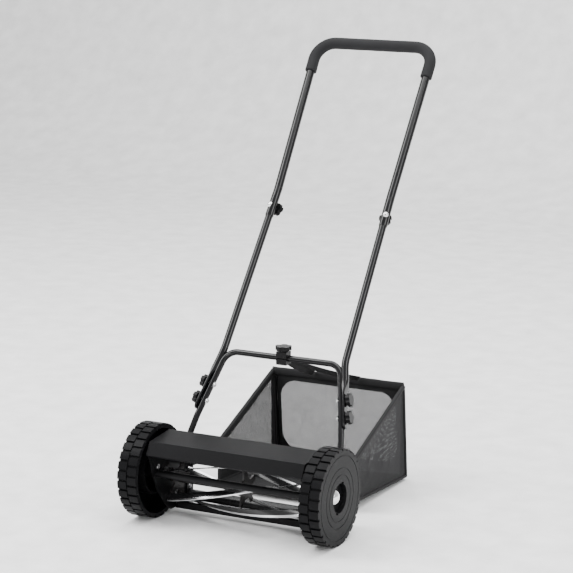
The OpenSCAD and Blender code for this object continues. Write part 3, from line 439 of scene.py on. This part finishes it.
# Centre lines of the left half, as the CAD has them; the right half is their mirror image.
LEG_BEND = Vector((0.1771, 0.135, 0.199))
LEG_WAY = Vector((-0.275, 0.541, 1)).normalized()
LEG_TOP = LEG_BEND + LEG_WAY * (0.334 - LEG_BEND.z) / LEG_WAY.z
LEG_OUT = (Vector((1, 0, 0)) - LEG_WAY.x * LEG_WAY).normalized()
FOOT_LOW = Vector((0.1861, 0.102, 0.122))
FOOT_WAY = Vector((0, 0.009, 0.021)).normalized()
LEG_LOW = Vector((0.1841, 0.119, 0.165))
STRIP = LEG_BEND + LEG_OUT * 0.0096
LOWER_BEND = STRIP + LEG_WAY * 0.16
HANDLE_WAY = Vector((-0.0185, 0.598, 0.801)).normalized()
JOINT = LOWER_BEND + HANDLE_WAY * (0.629 - LOWER_BEND.z) / HANDLE_WAY.z
UPPER_KINK = JOINT + HANDLE_WAY * 0.045
UPPER_WAY = Vector((0.0184, 0.566, 0.824)).normalized()
UPPER_TOP = UPPER_KINK + UPPER_WAY * (0.984 - UPPER_KINK.z) / UPPER_WAY.z
# Bend radii on those lines.
LEG_R = 0.06
LOOP_CORNER_R = 0.035
LOWER_R = 0.09
KINK_R = 0.15
GRIP_R = 0.046


def rounded_strip(low, way, length, thick, half_w):
    """Stations of a flat strip that starts with a half-round end."""
    out = []
    for k in range(9):
        a = math.pi / 2 * k / 8
        out.append((low - way * half_w * math.cos(a), way, thick, max(0.0006, half_w * math.sin(a)), 8))
    out.append((low + way * length, way, thick, half_w, 8))
    return out


def morph(a, b, steps=10):
    """Stations between two, eased so that the flat grows smoothly into the round."""
    out = []
    for k in range(1, steps):
        f = k / steps
        e = f * f * (3 - 2 * f)
        way = a[1].lerp(b[1], f).normalized()
        out.append((a[0].lerp(b[0], f), way, a[2] + (b[2] - a[2]) * e, a[3] + (b[3] - a[3]) * e,
                    a[4] + (b[4] - a[4]) * e))
    return out


# ---------------------------------------------------------------- builders


def middle(p):
    """The point of the middle plane level with p."""
    return Vector((0, p.y, p.z))


def build_loop():
    """The bent tube whose flattened feet are bolted to the plates."""
    foot = rounded_strip(FOOT_LOW, FOOT_WAY, 0.0328, 0.002, 0.009)
    half = round_stations([LEG_LOW, LEG_BEND, LEG_TOP, middle(LEG_TOP)], [0, LEG_R, LOOP_CORNER_R, 0],
                          sizes().loop_d / 2)
    stations = foot + morph(foot[-1], half[0]) + half
    verts, faces = both_sides(*loft(stations, SIDE, both_ends=False))
    piece("frame_loop_tube", verts, faces, "tube_paint", "frame_loop", "tube_paint",
          stands_for=["frame_loop"])


def build_lower():
    """The two lower handle tubes, each flattened where it is bolted to the loop."""
    strip = rounded_strip(STRIP + LEG_WAY * 0.024, LEG_WAY, 0.066, 0.0025, 0.012)
    tube = round_stations([STRIP + LEG_WAY * 0.122, LOWER_BEND, JOINT + HANDLE_WAY * 0.02],
                          [0, LOWER_R, 0], sizes().lower_d / 2)
    left = loft(strip + morph(strip[-1], tube[0]) + tube, SIDE)
    for name, data in (("left", left), ("right", mirrored(*left))):
        node = "handle_lower_" + name
        piece(node + "_tube", *data, "tube_paint", node, "tube_paint", stands_for=[node])


def build_upper():
    """The upper handle, one tube bent to a U."""
    stations = round_stations([JOINT - HANDLE_WAY * 0.026, UPPER_KINK, UPPER_TOP, middle(UPPER_TOP)],
                              [0, KINK_R, GRIP_R, 0], sizes().upper_d / 2)
    verts, faces = both_sides(*loft(lipped(stations, 0.0008), SIDE, both_ends=False))
    piece("handle_upper_tube", verts, faces, "tube_paint", "handle_upper", "tube_paint",
          stands_for=["handle_upper"])


def build_grip():
    """The foam sleeve over the top of the handle, with a slightly uneven skin."""
    s = sizes()
    foot = UPPER_TOP - UPPER_WAY * s.grip_leg
    stations = round_stations([foot, UPPER_TOP, middle(UPPER_TOP)], [0, GRIP_R, 0], s.grip_d / 2)
    fine = []
    for a, b in zip(stations, stations[1:]):
        steps = max(1, round((b[0] - a[0]).length / 0.004))
        fine += [(a[0].lerp(b[0], k / steps), a[1].lerp(b[1], k / steps).normalized(), a[2], a[3], 2)
                 for k in range(steps)]
    fine.append(stations[-1])
    verts, faces = loft(lipped(fine, 0.0015), SIDE, n=GRIP_RING, both_ends=False)
    quarter = GRIP_RING // 4
    for i in range(3 * GRIP_RING, len(verts) - GRIP_RING):
        ring = i - i % GRIP_RING
        centre = sum((verts[ring + k] for k in range(0, GRIP_RING, quarter)), Vector()) / 4
        out = (verts[i] - centre).normalized()
        verts[i] = verts[i] - out * (0.0002 + 0.0002 * noise.noise(verts[i] * 60))
    verts, faces = both_sides(verts, faces)
    grip = piece("foam_sleeve", verts, faces, "foam", "foam_grip", "foam", stands_for=["foam_grip"])


def blade_profile():
    """Section of a blade at the start of its turn, its cutting edge first, round the reel's axis."""
    s = sizes()
    r, inner = s.reel_d / 2, s.reel_d / 2 - 0.013
    lag = math.acos((r * r + inner * inner - s.blade_w ** 2) / (2 * r * inner))
    edge = Vector((r, 0))
    root = Vector((inner * math.cos(lag), -inner * math.sin(lag)))
    way = (root - edge).normalized()
    side = Vector((way.y, -way.x))
    if side.y > 0:
        side = -side
    land = math.atan2(s.blade_t, r)
    round_off = 0.0003
    return [edge, edge + way * 0.003, root - way * 2 * round_off, root + side * round_off,
            root + side * (s.blade_t - round_off), root - way * 2 * round_off + side * s.blade_t,
            Vector((math.cos(land), -math.sin(land))) * (r - 0.00002)]


def build_blades():
    """The helical blades, each a strip twisted round the reel's axis."""
    s = sizes()
    profile = blade_profile()
    steps, n = 90, len(profile)
    for k in range(s.blades):
        verts, faces = [], []
        for i in range(steps + 1):
            x = -s.reel_len / 2 + s.reel_len * i / steps
            a = BLADE_START + k * 2 * math.pi / s.blades - s.twist * x / s.reel_len
            ca, sa = math.cos(a), math.sin(a)
            verts += [Vector((x, REEL_AXIS.x + p.x * ca - p.y * sa, REEL_AXIS.y + p.x * sa + p.y * ca))
                      for p in profile]
        for i in range(steps):
            for j in range(n):
                m = (j + 1) % n
                faces.append((i * n + m, i * n + j, (i + 1) * n + j, (i + 1) * n + m))
        faces.append(tuple(range(n)))
        faces.append(tuple(steps * n + j for j in range(n - 1, -1, -1)))
        node = f"reel_blade_{k + 1}"
        piece(f"blade_strip_{k + 1}", verts, faces, "blade_steel", node, "blade_steel",
              stands_for=[node])


# Corners of the catcher, as [y, z], on the wires' centre lines.
RAIL_FRONT = Vector((0.222, 0.11958))
RAIL_REAR = Vector((0.484, 0.227))
FLOOR_FRONT = Vector((0.220, 0.024))
FLOOR_REAR = Vector((0.506, 0.009))
CATCHER_X = 0.168


def grid_sheet(name, point, nu, nv, lengths, material, node, slot_name, stands_for):
    """A sheet of cloth from a function of (u, v), each from 0 to 1, with its UVs in metres."""
    verts = [point(i / nu, j / nv) for j in range(nv + 1) for i in range(nu + 1)]
    uvs = [(lengths[0] * i / nu, lengths[1] * j / nv) for j in range(nv + 1) for i in range(nu + 1)]
    faces = [(j * (nu + 1) + i, j * (nu + 1) + i + 1, (j + 1) * (nu + 1) + i + 1, (j + 1) * (nu + 1) + i)
             for j in range(nv) for i in range(nu)]
    return piece(name, verts, faces, material, node, slot_name, uvs=uvs, stands_for=stands_for)


def quad(u, v, low_a, low_b, high_a, high_b):
    """A point of a four-sided panel."""
    return low_a.lerp(low_b, u).lerp(high_a.lerp(high_b, u), v)


def inside(u, v):
    """Zero on a panel's edges and one in its middle."""
    return (4 * u * (1 - u)) ** 0.7 * (4 * v * (1 - v)) ** 0.7


def crease(u, v, seed):
    """Soft folds that run across a panel, with a few sharper ones."""
    fold = abs(noise.noise(Vector((u * 3 + seed, v * 2.2, seed)))) - 0.25
    fine = noise.noise(Vector((u * 9, v * 7 + seed, 2.0 + seed)))
    return fold * 1.4 + fine * 0.35


def add_border(obj, is_solid):
    """Gives the solid cloth to the faces whose centre the test names."""
    obj.data.materials.append(bpy.data.materials[FINISH + "floor_cloth"])
    for poly in obj.data.polygons:
        if is_solid(poly.center):
            poly.material_index = 1


def in_rounded_box(x, y, half_x, low, high, radius):
    """Whether a point lies in a box with rounded corners."""
    dx = max(0.0, abs(x) - (half_x - radius))
    dy = max(0.0, low + radius - y, y - (high - radius))
    return math.hypot(dx, dy) <= radius


def sleeve(name, start, end, half, flat=1.0):
    """A narrow sleeve of cloth sewn round a wire."""
    way = (end - start).normalized()
    steps = max(2, round((end - start).length / 0.01))
    rows = []
    for i in range(steps + 1):
        w = 1 + 0.07 * noise.noise(Vector((i * 0.45, half * 900, 1.3)))
        rows.append((start.lerp(end, i / steps), way, half * w, half * flat * w, 2.6))
    verts, faces = loft(rows, SIDE if abs(way.x) < 0.9 else UP, n=20)
    return piece(name, verts, faces, "floor_cloth", "catcher_frame", "floor_cloth")


def at_side(x, p):
    """The point [y, z] of a side's plane, at a place across the mower."""
    return Vector((x, p.x, p.y))


def side_panel(s, name, seed):
    """One side of the catcher: open cloth with a solid foot, rear edge and upper edge."""
    c = cloth()
    rail_slope = (RAIL_REAR.y - RAIL_FRONT.y) / (RAIL_REAR.x - RAIL_FRONT.x)

    def point(u, v):
        p = quad(u, v, FLOOR_FRONT, FLOOR_REAR, RAIL_FRONT, RAIL_REAR)
        return at_side(s * (CATCHER_X - inside(u, v) * (0.004 + c.crease * crease(u, v, seed))), p)

    def is_solid(p):
        foot = c.band_front + (c.band_rear - c.band_front) * (p.y - 0.22) / 0.27
        rail = RAIL_FRONT.y + rail_slope * (p.y - RAIL_FRONT.x)
        return p.z < foot or p.z > rail - 0.016 or p.y > 0.474

    node = "catcher_side_" + name
    panel = grid_sheet(f"cloth_side_{name}", point, 150, 110, (0.275, 0.15), "mesh_side", node,
                       "mesh_cloth", [node])
    add_border(panel, is_solid)
    return panel


def back_panel(tall):
    """The back: open cloth in a solid border with rounded corners."""
    def point(u, v):
        p = FLOOR_REAR.lerp(RAIL_REAR, v)
        depth = inside(u, v) * (0.006 + cloth().crease * crease(u * 1.5, v, 5.5))
        return Vector(((2 * u - 1) * CATCHER_X, p.x - depth, p.y))

    panel = grid_sheet("cloth_back", point, 170, 110, (2 * CATCHER_X, tall), "mesh_cloth", "catcher_back",
                       "mesh_cloth", ["catcher_back"])
    add_border(panel, lambda p: not in_rounded_box(p.x, p.z, CATCHER_X - 0.02, 0.037, 0.207, 0.04))
    return panel


def floor_panel(long):
    """The floor, solid cloth that sags a little between its wires."""
    def point(u, v):
        p = FLOOR_FRONT.lerp(FLOOR_REAR, v)
        depth = inside(u, v) * (0.003 + cloth().crease * 0.8 * crease(u, v * 1.4, 9.7))
        return Vector(((2 * u - 1) * CATCHER_X, p.x, p.y - max(0.0, depth)))

    return grid_sheet("cloth_floor", point, 90, 80, (2 * CATCHER_X, long), "floor_cloth", "catcher_floor",
                      "floor_cloth", ["catcher_floor"])


def side_hems(s, name):
    """The sleeves round one side's four wires."""
    edges = (("rail", RAIL_FRONT, RAIL_REAR, 0.0045), ("low", FLOOR_FRONT, FLOOR_REAR, 0.0036),
             ("rear", FLOOR_REAR, RAIL_REAR, 0.0036), ("front", FLOOR_FRONT, RAIL_FRONT, 0.0036))
    x = s * CATCHER_X
    return [sleeve(f"hem_{edge}_{name}", at_side(x, a), at_side(x, b), half) for edge, a, b, half in edges]


def back_hem(name, p, half, flat):
    """The sleeve round one of the back's level wires."""
    return sleeve(f"hem_back_{name}", at_side(-CATCHER_X, p), at_side(CATCHER_X, p), half, flat)


def build_catcher():
    """The catcher's four panels, with the sleeves that hold them on the wires."""
    tall = (RAIL_REAR - FLOOR_REAR).length
    long = (FLOOR_REAR - FLOOR_FRONT).length
    left, right = side_panel(1, "left", 3.1), side_panel(-1, "right", 8.4)
    back, floor = back_panel(tall), floor_panel(long)
    left_hems, right_hems = side_hems(1, "left"), side_hems(-1, "right")
    top_hem = back_hem("top", RAIL_REAR, 0.0095, 0.42)
    low_hem = back_hem("low", FLOOR_REAR, 0.004, 1.0)


STRAP_TILT = math.radians(55)


def build_strap():
    """Webbing from the hook under the loop's middle down to the rear bar, both legs in one piece."""
    half = 0.5 * cloth().strap_w
    top = Vector((0.0085, LEG_TOP.y + 0.018, 0.3252))
    end = Vector((0.058, 0.478, 0.2345))
    sag, steps = 0.004, 40
    leg = []
    for k in range(steps + 1):
        f = k / steps
        leg.append(top.lerp(end, f) - UP * sag * 4 * f * (1 - f))
    path = [Vector((-p.x, p.y, p.z)) for p in reversed(leg)] + leg
    verts, faces, uvs = [], [], []
    run = 0.0
    for i, p in enumerate(path):
        way = (path[min(i + 1, len(path) - 1)] - path[max(i - 1, 0)]).normalized()
        away = min(1.0, abs(i - steps - 0.5) / 12)
        level = way.cross(UP).normalized()
        across = turned(level, way, math.copysign(STRAP_TILT, -p.x))
        w = half * (0.55 + 0.45 * away)
        run += (p - path[i - 1]).length if i else 0
        for t, u in ((-w, 0.0), (0.0, 0.5), (w, 1.0)):
            verts.append(p + across * t)
            uvs.append((u * 2 * half, run))
    for i in range(len(path) - 1):
        for k in range(2):
            faces.append((i * 3 + k, i * 3 + k + 1, i * 3 + k + 4, i * 3 + k + 3))
    obj = piece("strap_webbing", verts, faces, "webbing", "catcher_strap", "webbing", uvs=uvs,
                stands_for=["catcher_strap"])


def paint_nodes():
    """Puts a finish on every CAD node by its slot."""
    slots = {s["node"]: s["material_slot"] for s in frame["record"]["subparts"]}
    for name, obj in frame["nodes"].items():
        obj.data.materials.clear()
        obj.data.materials.append(bpy.data.materials[FINISH + slots[name]])


# ---------------------------------------------------------------- stage


def area_light(name, place, target, size, power):
    """A soft rectangular light that faces its target."""
    data = bpy.data.lights.new(name, "AREA")
    data.shape = "RECTANGLE"
    data.size, data.size_y = size
    data.energy = power
    lamp = bpy.data.objects.new(name, data)
    bpy.context.collection.objects.link(lamp)
    lamp.location = place
    lamp.rotation_euler = (Vector(target) - Vector(place)).to_track_quat("-Z", "Y").to_euler()
    return lamp


def build_floor():
    """A pale floor that curves up into the backdrop."""
    mesh = bpy.data.meshes.new("floor")
    half_w, back, height, r, front = 6.0, 5.0, 4.5, 1.2, -7.0
    profile = [(front, 0.0), (back - r, 0.0)]
    for k in range(1, 17):
        a = math.pi / 2 * k / 16
        profile.append((back - r + r * math.sin(a), r - r * math.cos(a)))
    profile.append((back, height))
    verts = [(x, y, z) for y, z in profile for x in (-half_w, half_w)]
    faces = [(2 * i, 2 * i + 1, 2 * i + 3, 2 * i + 2) for i in range(len(profile) - 1)]
    mesh.from_pydata(verts, [], faces)
    mesh.polygons.foreach_set("use_smooth", [True] * len(mesh.polygons))
    floor = bpy.data.objects.new("floor", mesh)
    bpy.context.collection.objects.link(floor)
    paper = tuple(colours().floor)
    mesh.materials.append(textured("floor_paper", paper, 0.9, 60, 0.02, spread=0.02, specular=0.1))
    return floor


def build_world():
    """Even white light from all round."""
    world = bpy.data.worlds.new("studio")
    world.use_nodes = True
    sky = world.node_tree.nodes["Background"]
    sky.inputs["Color"].default_value = (1, 1, 1, 1)
    sky.inputs["Strength"].default_value = 0.85
    bpy.context.scene.world = world


def build_camera():
    """A long lens, a little above the mower's middle and to its front left."""
    data = bpy.data.cameras.new("camera")
    data.sensor_width = 36
    data.lens = 134
    data.clip_end = 50
    camera = bpy.data.objects.new("camera", data)
    bpy.context.collection.objects.link(camera)
    eye, look = Vector((2.069, -3.861, 1.430)), Vector((0.0416, 0.1386, 0.5108))
    camera.location = eye
    roll = Quaternion((0, 0, 1), math.radians(0.34))
    camera.rotation_euler = ((look - eye).to_track_quat("-Z", "Y") @ roll).to_euler()
    bpy.context.scene.camera = camera


def build_stage():
    """Floor, four soft lights, world and camera."""
    floor = build_floor()
    lamps = [
        area_light("key", (-2.4, -1.2, 3.0), (0, 0.15, 0.4), (1.6, 2.4), 150),
        area_light("fill", (3.4, -0.6, 2.2), (0, 0.15, 0.3), (1.2, 2.8), 90),
        area_light("top", (0.0, 0.8, 4.0), (0, 0.4, 0.0), (4.5, 4.5), 300),
        area_light("front", (-0.6, -5.2, 1.6), (0, 0, 0.3), (1.2, 1.4), 60),
    ]
    build_world()
    build_camera()


# ---------------------------------------------------------------- operators


class MOWER_OT_finishes(bpy.types.Operator):
    """Makes every finish and puts it on the CAD nodes"""

    bl_idname = "mower.finishes"
    bl_label = "Finishes"

    def execute(self, context):
        finishes()
        paint_nodes()
        return {"FINISHED"}


class MOWER_OT_frame_loop(bpy.types.Operator):
    """Builds the bent frame loop with its flattened feet"""

    bl_idname = "mower.frame_loop"
    bl_label = "Frame loop"

    def execute(self, context):
        build_loop()
        return {"FINISHED"}


class MOWER_OT_handle_lower(bpy.types.Operator):
    """Builds the two lower handle tubes with their flattened ends"""

    bl_idname = "mower.handle_lower"
    bl_label = "Lower handle tubes"

    def execute(self, context):
        build_lower()
        return {"FINISHED"}


class MOWER_OT_handle_upper(bpy.types.Operator):
    """Builds the bent upper handle tube"""

    bl_idname = "mower.handle_upper"
    bl_label = "Upper handle"

    def execute(self, context):
        build_upper()
        return {"FINISHED"}


class MOWER_OT_foam_grip(bpy.types.Operator):
    """Builds the foam sleeve over the hand grip"""

    bl_idname = "mower.foam_grip"
    bl_label = "Foam grip"

    def execute(self, context):
        build_grip()
        return {"FINISHED"}


class MOWER_OT_blades(bpy.types.Operator):
    """Builds the helical blades of the reel"""

    bl_idname = "mower.blades"
    bl_label = "Reel blades"

    def execute(self, context):
        build_blades()
        return {"FINISHED"}


class MOWER_OT_catcher(bpy.types.Operator):
    """Builds the catcher's cloth panels and hems"""

    bl_idname = "mower.catcher"
    bl_label = "Grass catcher"

    def execute(self, context):
        build_catcher()
        return {"FINISHED"}


class MOWER_OT_strap(bpy.types.Operator):
    """Builds the webbing strap of the catcher"""

    bl_idname = "mower.strap"
    bl_label = "Strap"

    def execute(self, context):
        build_strap()
        return {"FINISHED"}


class MOWER_OT_stage(bpy.types.Operator):
    """Builds the floor, the lights and the camera"""

    bl_idname = "mower.stage"
    bl_label = "Stage"

    def execute(self, context):
        build_stage()
        return {"FINISHED"}


OPERATORS = [
    MOWER_OT_finishes,
    MOWER_OT_frame_loop,
    MOWER_OT_handle_lower,
    MOWER_OT_handle_upper,
    MOWER_OT_foam_grip,
    MOWER_OT_blades,
    MOWER_OT_catcher,
    MOWER_OT_strap,
    MOWER_OT_stage,
]


class MOWER_PT_panel(bpy.types.Panel):
    """Lists the steps that build the mower's looks."""

    bl_label = "Reel Mower"
    bl_idname = "MOWER_PT_panel"
    bl_space_type = "VIEW_3D"
    bl_region_type = "UI"
    bl_category = "Mower"

    def draw(self, context):
        for step in OPERATORS:
            self.layout.operator(step.bl_idname)


CLASSES = [MowerSizes, MowerCloth, MowerColours, *OPERATORS, MOWER_PT_panel]


def register():
    for c in CLASSES:
        bpy.utils.register_class(c)
    bpy.types.Scene.mower_sizes = PointerProperty(type=MowerSizes)
    bpy.types.Scene.mower_cloth = PointerProperty(type=MowerCloth)
    bpy.types.Scene.mower_colours = PointerProperty(type=MowerColours)


def unregister():
    del bpy.types.Scene.mower_sizes
    del bpy.types.Scene.mower_cloth
    del bpy.types.Scene.mower_colours
    for c in reversed(CLASSES):
        bpy.utils.unregister_class(c)


def main():
    register()
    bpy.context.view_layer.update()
    for step in OPERATORS:
        getattr(bpy.ops.mower, step.bl_idname.split(".")[1])()


if __name__ == "__main__":
    main()
